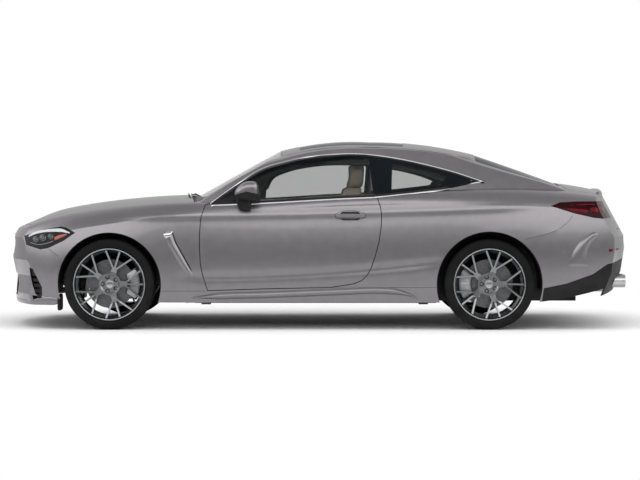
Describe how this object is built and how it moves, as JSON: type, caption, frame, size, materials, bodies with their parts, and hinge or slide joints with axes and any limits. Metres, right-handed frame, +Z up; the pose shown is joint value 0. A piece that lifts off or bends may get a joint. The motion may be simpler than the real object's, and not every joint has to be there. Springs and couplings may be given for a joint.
{
  "type": "coupe car",
  "caption": "Two-door fastback coupe on forked-spoke alloy wheels, with opening doors, bonnet and boot, steered front wheels and a hollow cabin.",
  "frame": {"origin": "on the ground under the middle of the car's box", "axes": "X along the car from nose (-) to tail (+), Y from the car's left side (-) to its right side (+), Z up"},
  "size_m": [4.8526, 2.084, 1.4355],
  "materials": {
    "paint": "metallic clear coat, warm silver grey",
    "black_trim": "grained black",
    "glass": "tinted",
    "roof_glass": "dark tinted panel",
    "headlamp": "clear lens over dark reflectors",
    "tail_lamp": "dark red lens",
    "alloy": "bright machined alloy",
    "tyre": "matt black",
    "iron": "turned friction face",
    "steel": "dark painted underbody",
    "caliper": "grey painted",
    "chrome": "polished",
    "leather": "pale beige",
    "dash": "soft black",
    "engine": "plain block"
  },
  "bodies": {
    "body": {"body_shell": "paint", "chassis": "steel", "cowl": "black_trim", "dashboard": "dash", "diffuser": "black_trim", "engine": "engine", "exhaust": "chrome", "front_bumper": "paint", "front_fenders": "paint", "front_grille": "black_trim", "front_seats": "leather", "front_subframe": "steel", "headlamps": "headlamp", "lower_grilles": "paint", "quarter_windows": "glass", "rear_axle": "steel", "rear_bumper": "paint", "rear_seat": "leather", "rear_window": "glass", "roof_glass": "roof_glass", "roof_panel": "paint", "side_skirts": "paint", "steering_wheel": "dash", "tail_lamps": "tail_lamp", "wheel_liners": "black_trim", "windscreen": "glass"},
    "door_left": {"door_left": "paint", "door_glass_left": "glass", "mirror_left": "paint"},
    "steer_left": {"front_knuckle_left": "caliper"},
    "road_wheel_front_left": {"wheel_front_left": "alloy", "tyre_front_left": "tyre", "brake_disc_front_left": "iron"},
    "road_wheel_rear_left": {"wheel_rear_left": "alloy", "tyre_rear_left": "tyre", "brake_disc_rear_left": "iron"},
    "door_right": {"door_right": "paint", "door_glass_right": "glass", "mirror_right": "paint"},
    "steer_right": {"front_knuckle_right": "caliper"},
    "road_wheel_front_right": {"wheel_front_right": "alloy", "tyre_front_right": "tyre", "brake_disc_front_right": "iron"},
    "road_wheel_rear_right": {"wheel_rear_right": "alloy", "tyre_rear_right": "tyre", "brake_disc_rear_right": "iron"},
    "hood": {"hood": "paint"},
    "boot_lid": {"boot_lid": "paint"}
  },
  "joints": [
    {"name": "door_left_hinge", "type": "hinge", "parent": "body", "child": "door_left", "pos_m": [-0.795, -0.888, 0.585], "axis": [0, 0, -1], "range_deg": [0, 65]},
    {"name": "door_right_hinge", "type": "hinge", "parent": "body", "child": "door_right", "pos_m": [-0.795, 0.888, 0.585], "axis": [0, 0, 1], "range_deg": [0, 65]},
    {"name": "hood_hinge", "type": "hinge", "parent": "body", "child": "hood", "pos_m": [-0.95, 0, 0.94], "axis": [0, 1, 0], "range_deg": [0, 38]},
    {"name": "boot_hinge", "type": "hinge", "parent": "body", "child": "boot_lid", "pos_m": [1.752, 0, 1.046], "axis": [0, -1, 0], "range_deg": [0, 55]},
    {"name": "steer_left", "type": "hinge", "parent": "body", "child": "steer_left", "pos_m": [-1.5785, -0.755, 0.343], "axis": [0, 0, 1], "range_deg": [-35, 35]},
    {"name": "steer_right", "type": "hinge", "parent": "body", "child": "steer_right", "pos_m": [-1.5785, 0.755, 0.343], "axis": [0, 0, 1], "range_deg": [-35, 35]},
    {"name": "spin_front_left", "type": "hinge", "parent": "steer_left", "child": "road_wheel_front_left", "pos_m": [-1.5785, -0.81, 0.343], "axis": [0, 1, 0], "continuous": true},
    {"name": "spin_front_right", "type": "hinge", "parent": "steer_right", "child": "road_wheel_front_right", "pos_m": [-1.5785, 0.81, 0.343], "axis": [0, 1, 0], "continuous": true},
    {"name": "spin_rear_left", "type": "hinge", "parent": "body", "child": "road_wheel_rear_left", "pos_m": [1.2965, -0.812, 0.343], "axis": [0, 1, 0], "continuous": true},
    {"name": "spin_rear_right", "type": "hinge", "parent": "body", "child": "road_wheel_rear_right", "pos_m": [1.2965, 0.812, 0.343], "axis": [0, 1, 0], "continuous": true}
  ],
  "couplings": [
    {"joint": "steer_right", "follows": "steer_left", "ratio": 1}
  ]
}
